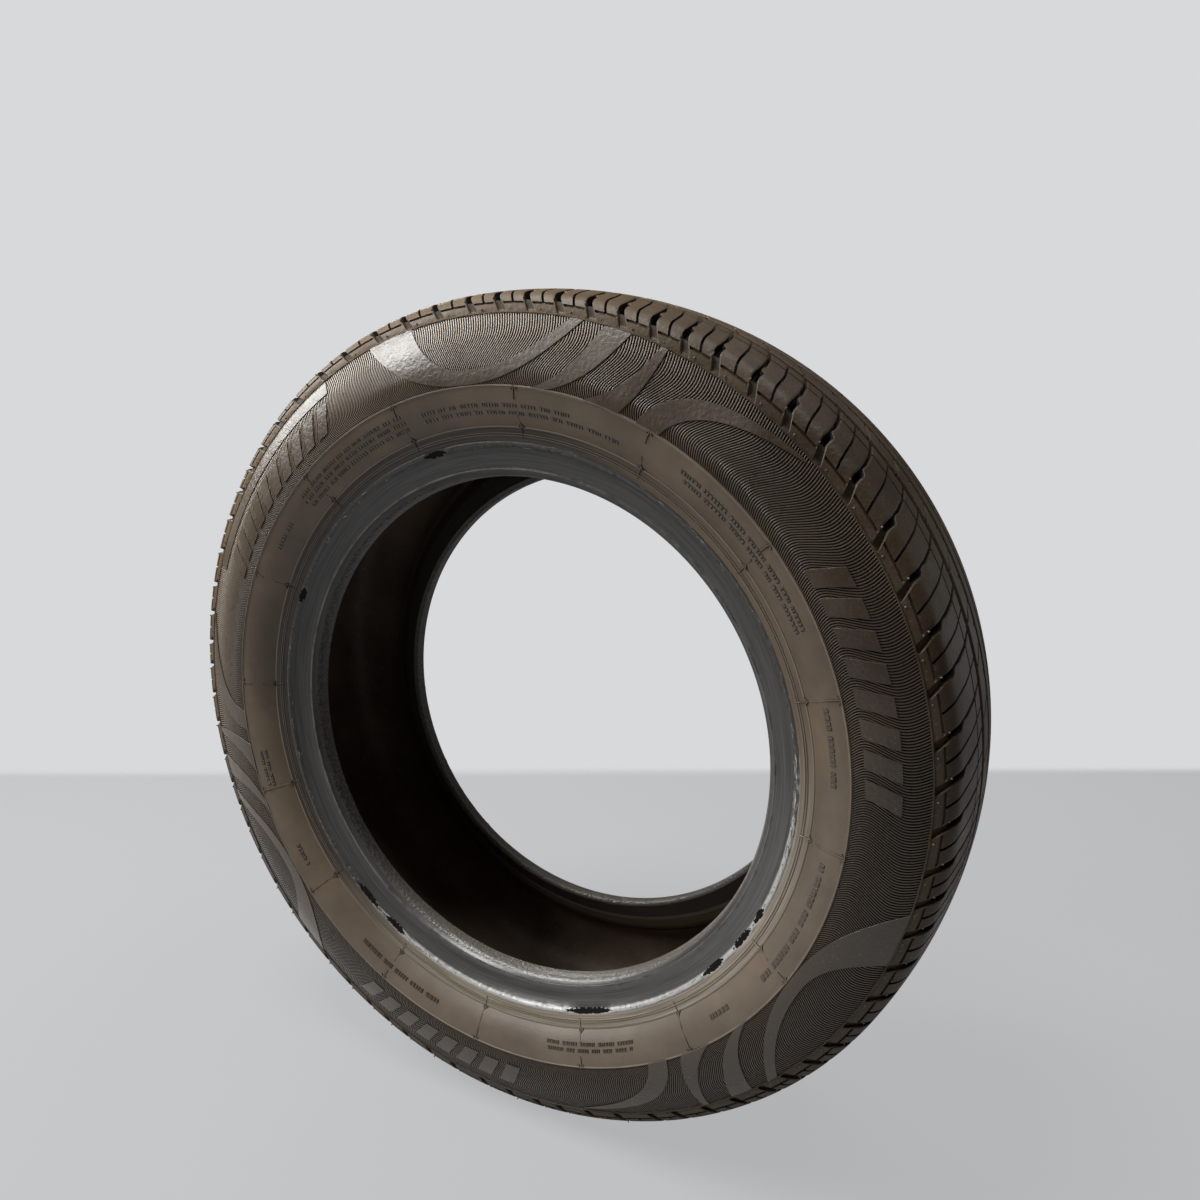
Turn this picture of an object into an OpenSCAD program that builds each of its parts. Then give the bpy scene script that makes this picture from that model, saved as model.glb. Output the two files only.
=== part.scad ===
// A passenger car tyre, upright, with its spin axis along Y and the wheel centre at the origin.
// The sidewall with the raised bands that faces -Y is the near one; the far one is the same.
// Sizes are in millimetres. In the section, a point is [distance from the spin axis, distance
// from the middle plane].

/* [Overall] */
// Diameter over the tread
tyre_d = 578; // [550:1:620]
// Width across the sidewalls at the widest place
section_w = 188.8; // [176:0.2:204]
// Diameter through the beads
bead_bore_d = 353; // [340:1:366]
// How far the heel of each bead lies inside the widest place
heel_in = 23.9; // [20:0.1:28]
// Height of the widest place, as a share of the section's height
widest_at = 0.507; // [0.46:0.001:0.55]
// How far the tyre's own weight flattens the tread on the ground
flat_spot = 0.8; // [0.3:0.1:2]

/* [Tread] */
// Radius of the tread's curve across the tyre
crown_curve_r = 349; // [250:1:600]
// Width of a shoulder's curve, from the edge of the tread to the widest place
shoulder_w = 18.4; // [14:0.1:24]
// Distance of the inner main grooves from the middle plane
inner_groove_at = 9.5; // [7:0.1:12]
// Width of the inner main grooves
inner_groove_w = 6; // [4:0.1:7]
// Distance of the outer main grooves from the middle plane
outer_groove_at = 32; // [27:0.1:36]
// Width of the outer main grooves
outer_groove_w = 6.5; // [4:0.1:9]
// Depth of the main grooves
groove_depth = 7.6; // [5:0.1:8.5]
// Distance of the thin line in the shoulder blocks from the middle plane
shoulder_line_at = 46.5; // [43:0.1:52]
// Width of the thin line in the shoulder blocks
shoulder_line_w = 1.5; // [0.8:0.1:3]
// Depth of the thin line in the shoulder blocks
shoulder_line_depth = 2; // [0.5:0.1:4]
// Order of the short, middle and long pitches round the tyre
pitch_order = "MMLMLLLMMMMSSSSSSSSMMMLMLMMSSMLLMMSMMLMSSMLMMLLMSSMMLMMSMMLSMMMSSSSMMMSSM";
// Length of a short pitch against a middle one
short_pitch = 0.82; // [0.7:0.01:0.95]
// Length of a long pitch against a middle one
long_pitch = 1.17; // [1.05:0.01:1.3]

/* [Shoulder grooves] */
// Width of a shoulder groove at its foot
foot_w = 4.8; // [3:0.1:6]
// Width of a shoulder groove where it crosses the blocks
cross_w = 2.3; // [1.2:0.1:3]
// Depth of a shoulder groove in the blocks
cross_depth = 5.6; // [3:0.1:6.5]
// Width of the slanted cuts in the ribs between the main grooves
rib_cut_w = 1.6; // [1:0.1:3]
// Depth of the slanted cuts in the ribs
rib_cut_depth = 4.5; // [2:0.1:6]
// Width of the thin cut across each shoulder block
block_cut_w = 0.9; // [0.6:0.1:1.5]
// Depth of the thin cut across each shoulder block
block_cut_depth = 4.2; // [2:0.1:5]
// Place of that cut, as a share of the way from one shoulder groove to the next
block_cut_at = 0.47; // [0.4:0.01:0.6]

/* [Sidewall] */
// Thickness of the sidewall at the widest place
sidewall_t = 7.5; // [5:0.1:10]
// Rubber and plies below the main grooves
under_groove_t = 6.2; // [4:0.1:9]
// Distance of the upper raised ring below the tread's highest place
upper_ring_below = 20.7; // [18:0.1:24]
// How far the upper raised ring lies inside the widest place
upper_ring_in = 8; // [6:0.1:10]
// Distance of the middle raised ring below the widest place
middle_ring_below = 5; // [3:0.1:9]
// Height of the raised rings
ring_h = 0.6; // [0.3:0.1:1.2]
// Width of the raised rings
ring_w = 0.9; // [0.6:0.1:2]

/* [Raised bands] */
// Height of the raised bands above the sidewall
band_h = 0.5; // [0.3:0.1:0.6]
// How many groups of raised bands there are round a sidewall
band_groups = 3; // [1:1:3]

/* [Bead] */
// Width of a bead's base, from its heel to its toe
bead_base_w = 14.5; // [12:0.1:18]
// Length of the straight part of a bead's base
bead_land_w = 7; // [4:0.1:9]
// Height of the heel ridge above the bead's bore
heel_ridge_h = 4.5; // [3.5:0.1:6]
// Height of the worn rim ridge above the bead's bore
rim_ridge_h = 19; // [16:0.1:22]
// Distance of the worn rim ridge outside the heel
rim_ridge_out = 7.8; // [5:0.1:10]
// Height of the step where the sidewall starts above the bead's bore
step_h = 30; // [26:0.1:34]
// Distance of that step outside the heel
step_out = 10.2; // [8:0.1:13]

/* [Hidden] */
$fn = 180;

tread_r = tyre_d / 2;
bore_r = bead_bore_d / 2;
half_w = section_w / 2;
tread_half_w = half_w - shoulder_w;
heel_w = half_w - heel_in;
toe_w = heel_w - bead_base_w;
widest_r = bore_r + widest_at * (tread_r - bore_r);
upper_ring_r = tread_r - upper_ring_below;
middle_ring_r = widest_r - middle_ring_below;
step_r = bore_r + step_h;
step_w = heel_w + step_out;
rim_ridge_r = bore_r + rim_ridge_h;
rim_ridge_w = heel_w + rim_ridge_out;
heel_ridge_r = bore_r + heel_ridge_h;

// The sidewall's foot stands this far outside the step, and meets it over this height.
step_rise = 0.9;
step_slope = 0.8;
// Two thin rings lie below the step.
thin_ring_w = 0.6;
thin_ring_h = 0.4;
thin_rings_below = [1.4, 2.6];
// The worn rim ridge is this wide and this high, and its lower foot lies this much further in.
rim_ridge_width = 3;
rim_ridge_rise = 0.7;
rim_ridge_drop = 1;
// The heel ridge is this wide and this high. Its outer foot lies this far inside the heel, and
// its lower foot this much further in.
heel_ridge_width = 1.1;
heel_ridge_rise = 0.5;
heel_ridge_in = 0.3;
heel_ridge_drop = 0.5;
// The flank between the two ridges is a curve, which starts this far from the rim ridge's foot,
// turns this far outside the heel and ends this far above the heel ridge's foot.
hollow_start = 0.7;
hollow_out = 1.2;
hollow_end = 0.2;
// The bead's heel is cut back this far along the axis and outwards, and its toe by this much.
heel_cut = [1.6, 3.2];
toe_cut = 0.8;
// A main groove's walls lean in by this much from top to floor, and a thin line's by this much.
wall_lean = 0.9;
thin_lean = 0.3;
// The shoulder bends inwards this far inside the widest place.
shoulder_corner_in = 8.9;
// Inside, the belt is flat to this far inside the tread's edge. The sidewall ends this far below
// the upper ring, and the curve between them turns at a corner this far below the belt's edge and
// this far in from the sidewall's end. Towards the bead, the liner's arc covers this many degrees.
belt_in = 16;
liner_end_below = 11;
liner_corner_below = 0.8;
liner_corner_in = 5;
liner_turn = 50;

// Points along a curve that leaves p towards q and arrives at s from it.
function bend(p, q, s, steps) =
    [for (i = [0:steps]) let (t = i / steps)
        (1 - t) * (1 - t) * p + 2 * t * (1 - t) * q + t * t * s];

function reversed(list) = [for (i = [len(list) - 1:-1:0]) list[i]];

// Radius of the arc that runs square to the axis at its top and falls by drop over a length run.
function fall_r(run, drop) = (run * run + drop * drop) / (2 * drop);

// Distance of the tread's surface from the axis, at a distance w from the middle plane
function crown(w) = tread_r - w * w / (2 * crown_curve_r);

// A groove across the section: its two top corners and its two floor corners
function groove(at, w, depth, lean) = [
    [crown(at - w / 2), at - w / 2],
    [crown(at) - depth, at - w / 2 + lean],
    [crown(at) - depth, at + w / 2 - lean],
    [crown(at + w / 2), at + w / 2]];

// A raised ring with sloped sides, from its outer foot p to its inner foot q
function ridge(p, q, h) =
    let (along = (q - p) / norm(q - p), up = [along[1], -along[0]])
    [p, p + 0.25 * (q - p) + h * up, q - 0.25 * (q - p) + h * up, q];

// The sidewall is two arcs that meet at the widest place. This is its point at a distance r
// from the axis, at a depth t below the surface.
upper_arc_r = fall_r(upper_ring_r - widest_r, upper_ring_in);
lower_arc_r = fall_r(widest_r - step_r, half_w - step_w - step_rise);
function wall(r, t = 0) =
    let (arc_r = r > widest_r ? upper_arc_r : lower_arc_r)
    [r, half_w - arc_r + sqrt(pow(arc_r - t, 2) - pow(r - widest_r, 2))];

// The middle of the tread, with its main grooves, down to the upper ring
shoulder_start = [crown(tread_half_w), tread_half_w];
shoulder_corner_w = half_w - shoulder_corner_in;
shoulder_corner = [crown(tread_half_w)
    - (shoulder_corner_w - tread_half_w) * tread_half_w / crown_curve_r, shoulder_corner_w];
upper_ring_foot = [upper_ring_r + ring_w / 2, wall(upper_ring_r)[1]];
function crown_outline() = concat(
    [[crown(0), 0]],
    groove(inner_groove_at, inner_groove_w, groove_depth, wall_lean),
    groove(outer_groove_at, outer_groove_w, groove_depth, wall_lean),
    groove(shoulder_line_at, shoulder_line_w, shoulder_line_depth, thin_lean),
    bend(shoulder_start, shoulder_corner, upper_ring_foot, 4));

// The sidewall, with its upper and middle ring, down to the step
function sidewall_outline() = concat(
    ridge(upper_ring_foot, wall(upper_ring_r - ring_w / 2), ring_h),
    [for (i = [1:5]) wall(upper_ring_r + (middle_ring_r - upper_ring_r) * i / 6)],
    ridge(wall(middle_ring_r + ring_w / 2), wall(middle_ring_r - ring_w / 2), ring_h),
    [for (i = [1:5]) wall(middle_ring_r + (step_r + step_slope - middle_ring_r) * i / 5)]);

// The flank below the step, at a distance d below it
function flank(d) = [step_r - d, step_w - d * (step_w - rim_ridge_w) / (step_r - rim_ridge_r)];

// The bead, from the step to its toe
rim_ridge_foot = [rim_ridge_r - rim_ridge_width / 2, rim_ridge_w - rim_ridge_drop];
heel_ridge_foot = [heel_ridge_r + heel_ridge_width / 2, heel_w - heel_ridge_in];
function bead_outline() = concat(
    [flank(0)],
    [for (d = thin_rings_below) each ridge(flank(d), flank(d + thin_ring_w), thin_ring_h)],
    ridge(flank(step_r - rim_ridge_r - rim_ridge_width / 2), rim_ridge_foot, rim_ridge_rise),
    bend(rim_ridge_foot - [hollow_start, hollow_start],
        [(rim_ridge_r + heel_ridge_r) / 2, heel_w + hollow_out],
        heel_ridge_foot + [hollow_end, 0], 5),
    ridge(heel_ridge_foot, heel_ridge_foot - [heel_ridge_width, heel_ridge_drop], heel_ridge_rise),
    [[bore_r + heel_cut[0], heel_w - heel_cut[1]], [bore_r, toe_w + bead_land_w + toe_cut]],
    [[bore_r, toe_w + toe_cut], [bore_r + toe_cut, toe_w]]);

// The inside, from the bead's toe to the middle of the tread
belt_depth = groove_depth + under_groove_t;
belt_half_w = tread_half_w - belt_in;
liner_end = wall(upper_ring_r - liner_end_below, sidewall_t);
belt_edge = [crown(belt_half_w) - belt_depth, belt_half_w];
liner_corner = [belt_edge[0] - liner_corner_below, liner_end[1] - liner_corner_in];
function inside_outline() = concat(
    [[bore_r + 2 * heel_cut[0], toe_w - toe_cut]],
    [for (i = [0:4]) let (a = liner_turn * (1 - i / 4)) [widest_r, half_w - lower_arc_r]
        + (lower_arc_r - sidewall_t) * [-sin(a), cos(a)]],
    [for (i = [1:2]) wall(widest_r + (liner_end[0] - widest_r) * i / 3, sidewall_t)],
    bend(liner_end, liner_corner, belt_edge, 6),
    [[crown(belt_half_w / 2) - belt_depth, belt_half_w / 2], [crown(0) - belt_depth, 0]]);

// The whole section: one half, and its mirror image on the way back
module section() {
    half = concat(crown_outline(), sidewall_outline(), bead_outline(), inside_outline());
    polygon(concat(half, [for (i = [len(half) - 2:-1:1]) [half[i][0], -half[i][1]]]));
}

// A curve of a raised band's edge, over the field between the middle and the upper ring. It
// leaves its first point towards its second and arrives at its third, and each of them is
// [angle, share of the way from the middle ring to the upper ring].
function on_field(point) =
    (middle_ring_r + point[1] * (upper_ring_r - middle_ring_r)) * [cos(point[0]), sin(point[0])];
function edge(points) = bend(on_field(points[0]), on_field(points[1]), on_field(points[2]), 5);

// The bands run from one ring to the other, a little past both.
low = -0.01;
high = 1.01;
// The three plain bands of a group, each between its right and its left edge
plain_bands = [
    [[[45, 0.95], [62, 1.01], [64.8, low]], [[44.6, 0.93], [58.8, 0.74], [61, low]]],
    [[[65.2, high], [65, 0.4], [67.8, low]], [[66.1, high], [67.2, 0.3], [73.8, low]]],
    [[[70.1, high], [73, 0.2], [80, low]], [[73.7, high], [76.1, 0.2], [82.5, low]]]];
// The crescent of a group, whose outer and inner edge each have two curves
crescent_outer = [
    [[76.5, high], [83.4, 0.07], [93.5, 0.02]],
    [[93.5, 0.02], [104.2, 0.1], [109.5, high]]];
crescent_inner = [
    [[78.2, high], [84.3, 0.28], [92.5, 0.22]],
    [[92.5, 0.22], [99, 0.22], [102, high]]];

module band_outlines() {
    for (band = plain_bands) {
        polygon(concat(edge(band[0]), reversed(edge(band[1]))));
    }
    polygon(concat([for (part = crescent_outer) each edge(part)],
        reversed([for (part = crescent_inner) each edge(part)])));
}

// The raised bands of the near side: a thin shell over the field, kept where the bands are. The
// shell starts this far below the surface.
band_sink = 1.5;
module band_shell() {
    field = [for (i = [0:6]) middle_ring_r + (upper_ring_r - middle_ring_r) * i / 6];
    surface = [for (r = field) wall(r, -band_h)];
    underside = [for (r = field) wall(r, band_sink)];
    rotate_extrude() polygon(concat(surface, reversed(underside)));
}

module raised_bands() {
    intersection() {
        band_shell();
        linear_extrude(height = section_w)
            for (k = [0:band_groups - 1]) rotate([0, 0, 360 / band_groups * k]) band_outlines();
    }
}

// Where each pitch of the tread starts, in degrees. The far side starts a little further round.
far_side_shift = 11;
pitches = len(pitch_order);
function pitch_length(k) =
    pitch_order[k] == "S" ? short_pitch :
    pitch_order[k] == "L" ? long_pitch : 1;
function pitch_sum(k) = k == 0 ? 0 : pitch_sum(k - 1) + pitch_length(k - 1);
middle_pitch = 360 / pitch_sum(pitches);
function pitch_start(k) = middle_pitch * pitch_sum(k);
function pitch_turn(k) = middle_pitch * pitch_length(k);

// Draws what follows in a plane that lies along the tread at an angle: X runs round the tyre,
// Y towards the near sidewall, Z away from the axis. The plane passes through the point
// [distance from the axis, distance from the middle plane] and is tilted there.
module on_tread(angle, point, tilt) {
    rotate([0, 0, angle])
        translate([point[0], 0, point[1]])
        rotate([0, tilt, 0])
        rotate([90, 0, 90])
        children();
}

// A strip of a given width along a line of points
function strip(line, w) = concat(
    [for (p = line) p - [w / 2, 0]],
    reversed([for (p = line) p + [w / 2, 0]]));

// The floor of a shoulder groove has two slopes that meet this far outside the tread's edge and
// this much higher than the groove's floor is there. The outer slope ends this far outside the
// upper ring's foot.
knee_out = 4;
knee_rise = 0.5;
foot_past = 0.3;
floor_knee = [crown(tread_half_w) - cross_depth + knee_rise, tread_half_w + knee_out];
block_tilt = atan2(crown(outer_groove_at) - cross_depth - floor_knee[0],
    floor_knee[1] - outer_groove_at);
foot_tilt = atan2(floor_knee[0] - upper_ring_foot[0],
    upper_ring_foot[1] + foot_past - floor_knee[1]);
// The groove's way over its floor, with Y measured from the knee: the wide foot runs down to the
// upper ring, and the narrow cut crosses the blocks to the outer main groove.
foot_line = [[-1.4, 15.5], [6.2, -3.2]];
cross_line = [[7.3, 1], [14.4, shoulder_line_at - floor_knee[1]],
    [20.6, outer_groove_at - floor_knee[1]]];
// Cuts reach this far past the tread's surface, and the wide foot is cut this high from its floor.
past = 6;
foot_height = 18;

module shoulder_groove() {
    on_tread(0, floor_knee, foot_tilt)
        linear_extrude(height = foot_height)
        polygon(strip(foot_line, foot_w));
    on_tread(0, floor_knee, -block_tilt)
        linear_extrude(height = past + cross_depth)
        polygon(strip(cross_line, cross_w));
}

// The thin cut across the block, from the shoulder's curve to the outer main groove, drawn like
// the shoulder groove
block_cut_line = [[5.5, 3.5], [21.9, outer_groove_at - floor_knee[1]]];
module block_cut() {
    on_tread(0, floor_knee + [cross_depth - block_cut_depth, 0], -block_tilt)
        linear_extrude(height = past + block_cut_depth)
        polygon(strip(block_cut_line, block_cut_w));
}

// The slanted cut in the rib between the two main grooves, with Y measured from the middle plane
rib_cut_line = [[-1.5, outer_groove_at], [9, inner_groove_at]];
module rib_cut() {
    on_tread(0, [crown(outer_groove_at) - rib_cut_depth, 0], 0)
        linear_extrude(height = past + rib_cut_depth)
        polygon(strip(rib_cut_line, rib_cut_w));
}

// The cuts of one pitch on the near side, whose block is this many degrees long
module pitch_cuts(block) {
    shoulder_groove();
    rotate([0, 0, block_cut_at * block]) block_cut();
    rib_cut();
}

// The cuts of all pitches. A pitch of the far side is one of the near side turned half round, so
// the block beside its groove is the one before it.
module tread_cuts() {
    for (k = [0:pitches - 1]) {
        rotate([0, 0, pitch_start(k)]) pitch_cuts(pitch_turn(k));
    }
    for (k = [0:pitches - 1]) {
        before = (k + pitches - 1) % pitches;
        rotate([0, 0, pitch_start(k) + far_side_shift]) rotate([180, 0, 0])
            pitch_cuts(pitch_turn(before));
    }
}

// The ground under the tyre, which flattens the tread
module ground() {
    ground_h = 100;
    translate([0, -tread_r + flat_spot - ground_h / 2, 0])
        cube([3 * ground_h, ground_h, section_w], center = true);
}

module tyre() {
    color([0.30, 0.27, 0.24])
    rotate([90, 0, 0])
    difference() {
        union() {
            rotate_extrude() section();
            raised_bands();
            rotate([0, 0, far_side_shift]) rotate([180, 0, 0]) raised_bands();
        }
        tread_cuts();
        ground();
    }
}

tyre();
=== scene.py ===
# A used car tyre, standing on its tread, with its spin axis along Y.
# Sizes are in millimetres and angles in degrees until a mesh is made. A point of the tyre is
# given by its angle (from +X towards +Z), its distance r from the axis and its distance w from
# the middle plane, towards the side that it is on.
import math

import bpy
import numpy as np
from mathutils import Matrix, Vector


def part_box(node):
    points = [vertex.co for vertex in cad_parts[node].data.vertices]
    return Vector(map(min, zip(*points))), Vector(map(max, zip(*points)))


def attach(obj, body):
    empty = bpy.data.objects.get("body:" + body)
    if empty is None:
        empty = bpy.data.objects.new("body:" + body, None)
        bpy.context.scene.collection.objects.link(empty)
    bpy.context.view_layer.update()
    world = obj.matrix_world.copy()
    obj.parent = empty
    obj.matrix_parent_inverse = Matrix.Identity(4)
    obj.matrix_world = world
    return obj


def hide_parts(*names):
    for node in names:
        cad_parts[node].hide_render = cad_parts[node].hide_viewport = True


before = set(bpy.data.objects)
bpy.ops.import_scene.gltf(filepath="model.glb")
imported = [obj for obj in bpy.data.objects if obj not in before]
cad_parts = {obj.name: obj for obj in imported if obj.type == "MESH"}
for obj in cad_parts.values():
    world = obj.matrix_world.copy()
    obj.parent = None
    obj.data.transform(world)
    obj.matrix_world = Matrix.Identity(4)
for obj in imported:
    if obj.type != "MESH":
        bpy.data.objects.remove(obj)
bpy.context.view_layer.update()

# Sizes that the part's source holds too
TREAD_R = 289.0
HALF_W = 94.4
BORE_R = 176.5
HEEL_W = 70.5
TOE_W = 56.0
WIDEST_R = 233.56
UPPER_RING_R = 268.3
UPPER_RING_IN = 8.0
MIDDLE_RING_R = 228.56
STEP_R = 206.5
STEP_W = 80.7
RIM_RIDGE_R = 195.5
RIM_RIDGE_W = 78.3
HEEL_RIDGE_R = 181.0
CROWN_CURVE_R = 349.0
TREAD_HALF_W = 76.0
SHOULDER_CORNER_IN = 8.9
INNER_GROOVE = (9.5, 6.0)
OUTER_GROOVE = (32.0, 6.5)
GROOVE_DEPTH = 7.6
SHOULDER_LINE = (46.5, 1.5, 2.0)
SIDEWALL_T = 7.5
RING_W = 0.9
RING_H = 0.6
BAND_H = 0.5
PITCH_ORDER = "MMLMLLLMMMMSSSSSSSSMMMLMLMMSSMLLMMSMMLMSSMLMMLLMSSMMLMMSMMLSMMMSSSSMMMSSM"
PITCH_LENGTH = {"S": 0.82, "M": 1.0, "L": 1.17}
FAR_TURN = 11.0
FLOOR_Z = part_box("tyre")[0].z

MM = 0.001
DEG = 180 / math.pi


def smooth(points, x):
    """Reads a smooth curve through given points (place, value) at x."""
    px, py = np.array(points, float).T
    slope = np.gradient(py, px)
    i = np.clip(np.searchsorted(px, x) - 1, 0, len(px) - 2)
    step = px[i + 1] - px[i]
    t = np.clip((x - px[i]) / step, 0, 1)
    start = (1 + 2 * t) * (1 - t) ** 2 * py[i] + t * (1 - t) ** 2 * step * slope[i]
    end = t * t * (3 - 2 * t) * py[i + 1] + t * t * (t - 1) * step * slope[i + 1]
    return start + end


def straight(points, x):
    """Reads a line through given points (place, value) at x."""
    px, py = np.array(points, float).T
    return np.interp(x, px, py)


def ripple(angle, seed, low=5, high=60, count=24):
    """An uneven wave round the tyre, the same at each run, that stays within about -1 to 1."""
    rng = np.random.default_rng(seed)
    turns = rng.integers(low, high, count)
    phase = rng.uniform(0, 2 * math.pi, count)
    waves = np.sin(np.asarray(angle)[..., None] / DEG * turns + phase)
    return waves.sum(-1) / math.sqrt(count)


def crown(w):
    """Distance of the tread's surface from the axis"""
    return TREAD_R - w * w / (2 * CROWN_CURVE_R)


def fall_r(run, drop):
    """Radius of an arc that starts along the run and falls by drop"""
    return (run * run + drop * drop) / (2 * drop)


UPPER_ARC_R = fall_r(UPPER_RING_R - WIDEST_R, UPPER_RING_IN)
LOWER_ARC_R = fall_r(WIDEST_R - STEP_R, HALF_W - STEP_W - 0.9)


def wall_w(r, depth=0.0):
    """Distance of the sidewall's surface from the middle plane, at a depth below it"""
    arc_r = np.where(r > WIDEST_R, UPPER_ARC_R, LOWER_ARC_R)
    return HALF_W - arc_r + np.sqrt((arc_r - depth) ** 2 - (r - WIDEST_R) ** 2)


class Outline:
    """A line of points [r, w] in the section, read by the length along it."""

    def __init__(self, points):
        self.points = np.array(points, float)
        steps = np.linalg.norm(np.diff(self.points, axis=0), axis=1)
        self.lengths = np.concatenate([[0], np.cumsum(steps)])
        way = np.gradient(self.points, self.lengths, axis=0)
        way /= np.linalg.norm(way, axis=1, keepdims=True)
        self.out = np.stack([-way[:, 1], way[:, 0]], 1)

    def at(self, s, depth=0.0):
        """The points at lengths s, sunk by a depth: r and w"""
        r = np.interp(s, self.lengths, self.points[:, 0])
        w = np.interp(s, self.lengths, self.points[:, 1])
        out_r = np.interp(s, self.lengths, self.out[:, 0])
        out_w = np.interp(s, self.lengths, self.out[:, 1])
        return r - depth * out_r, w - depth * out_w


def bend(p, q, s, steps):
    """Points along a curve that leaves p towards q and arrives at s from it."""
    t = np.linspace(0, 1, steps + 1)[:, None]
    return (1 - t) ** 2 * np.array(p) + 2 * t * (1 - t) * np.array(q) + t * t * np.array(s)


def shoulder_outline():
    """From the sidewall just below the upper ring, over the shoulder, to the tread's middle.
    The lengths are counted from the upper ring's outer foot."""
    start = (crown(TREAD_HALF_W), TREAD_HALF_W)
    corner_w = HALF_W - SHOULDER_CORNER_IN
    corner = (start[0] - (corner_w - TREAD_HALF_W) * TREAD_HALF_W / CROWN_CURVE_R, corner_w)
    foot = (UPPER_RING_R + RING_W / 2, float(wall_w(UPPER_RING_R)))
    below = [(r, float(wall_w(r))) for r in np.arange(UPPER_RING_R - 3, UPPER_RING_R, 0.5)]
    over = bend(foot, corner, start, 60).tolist()
    middle = [(crown(w), w) for w in np.arange(TREAD_HALF_W - 1, -1, -1)]
    line = Outline(below + over + middle)
    line.lengths -= line.lengths[len(below)]
    return line


SHOULDER = shoulder_outline()


def length_at(w):
    """Length along the shoulder's outline, on the tread, where it is w from the middle plane"""
    return float(np.interp(-w, -SHOULDER.points[:, 1], SHOULDER.lengths))


def pitch_starts(side):
    """Angles where the pitches start, with the first one once more at the end. On the far
    side, which is seen turned half round, the order runs the other way."""
    length = np.array([PITCH_LENGTH[letter] for letter in PITCH_ORDER])
    start = np.concatenate([[0], np.cumsum(length)]) * 360 / length.sum()
    return start if side == "near" else 360 - start[::-1]


def place(angle, r, w, side):
    """Points in metres from angles, distances from the axis and from the middle plane"""
    near = side == "near"
    a = (angle if near else FAR_TURN - angle) / DEG
    x = r * np.cos(a)
    z = np.maximum(r * np.sin(a) * MM, FLOOR_Z) / MM
    y = -w if near else w
    return np.stack(np.broadcast_arrays(x, y, z), -1) * MM


def make_piece(name, points, faces, materials, sharp=32, choice=None):
    """A closed piece from points in metres and faces, smooth but for its sharp edges. It has one
    material, or a list of them with the number of the one that each face takes."""
    mesh = bpy.data.meshes.new(name)
    mesh.from_pydata(points, [], faces)
    mesh.update()
    mesh.shade_smooth()
    mesh.set_sharp_from_angle(angle=math.radians(sharp))
    piece = bpy.data.objects.new(name, mesh)
    bpy.context.scene.collection.objects.link(piece)
    for material in materials if isinstance(materials, list) else [materials]:
        mesh.materials.append(material)
    if choice is not None:
        mesh.polygons.foreach_set("material_index", np.asarray(choice, np.int32).ravel())
    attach(piece, "root")
    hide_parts("tyre")
    return piece


def ring_faces(rows, columns):
    """Quads of a closed ring whose section is a closed line of rows"""
    i, j = np.meshgrid(np.arange(rows), np.arange(columns), indexing="ij")
    up, on = (i + 1) % rows, (j + 1) % columns
    quads = np.stack([i * columns + j, i * columns + on, up * columns + on, up * columns + j], -1)
    return quads.reshape(-1, 4)


def ring_piece(name, angle, r, w, side, materials, sharp=32, choice=None):
    """A closed ring. The arrays have a row for each point of the section, which runs from the
    shoulder to the bead on the outside and back on the inside, and a column for each angle. The
    choice has a material's number for each row and column of faces."""
    points = place(angle, r, w, side)
    rows, columns = points.shape[:2]
    faces = ring_faces(rows, columns)
    if choice is not None:
        choice = np.broadcast_to(choice, (rows, columns))
    return make_piece(name, points.reshape(-1, 3).tolist(), faces.tolist(), materials, sharp, choice)


# Materials

class Graph:
    """Builds a material's nodes. Values that go into sockets are numbers or other outputs."""

    def __init__(self, name):
        self.material = bpy.data.materials.new(name)
        self.material.use_nodes = True
        self.tree = self.material.node_tree
        self.shader = self.tree.nodes["Principled BSDF"]

    def set(self, node, inputs):
        for key, value in inputs.items():
            socket = node.inputs[key]
            if isinstance(value, bpy.types.NodeSocket):
                self.tree.links.new(value, socket)
            else:
                socket.default_value = value

    def node(self, kind, inputs=None, **settings):
        node = self.tree.nodes.new(kind)
        for key, value in settings.items():
            setattr(node, key, value)
        self.set(node, inputs or {})
        return node

    def maths(self, operation, *values):
        node = self.node("ShaderNodeMath", operation=operation)
        self.set(node, dict(enumerate(values)))
        return node.outputs[0]

    def noise(self, vector, scale, detail=3.0, roughness=0.55):
        inputs = {"Vector": vector, "Scale": scale, "Detail": detail, "Roughness": roughness}
        return self.node("ShaderNodeTexNoise", inputs).outputs["Fac"]

    def between(self, value, low, high, out_low=0.0, out_high=1.0):
        inputs = {"Value": value, "From Min": low, "From Max": high,
                  "To Min": out_low, "To Max": out_high}
        return self.node("ShaderNodeMapRange", inputs, interpolation_type="SMOOTHSTEP").outputs[0]

    def mix(self, share, first, second):
        node = self.node("ShaderNodeMix", data_type="RGBA")
        for index, value in ((0, share), (6, first), (7, second)):
            self.set_indexed(node, index, value)
        return node.outputs[2]

    def set_indexed(self, node, index, value):
        if isinstance(value, bpy.types.NodeSocket):
            self.tree.links.new(value, node.inputs[index])
        else:
            node.inputs[index].default_value = value

    def bump(self, height, distance, strength=1.0, normal=None):
        inputs = {"Height": height, "Distance": distance, "Strength": strength}
        if normal is not None:
            inputs["Normal"] = normal
        return self.node("ShaderNodeBump", inputs).outputs["Normal"]


def shade(srgb):
    """A linear colour from the three parts, 0 to 255, that a picture shows"""
    linear = [(v / 255 / 12.92) if v <= 10 else ((v / 255 + 0.055) / 1.055) ** 2.4 for v in srgb]
    return (*linear, 1.0)


def from_axis(g, x, z):
    """Distance from the spin axis, in metres"""
    return g.maths("SQRT", g.maths("ADD", g.maths("MULTIPLY", x, x), g.maths("MULTIPLY", z, z)))


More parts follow.
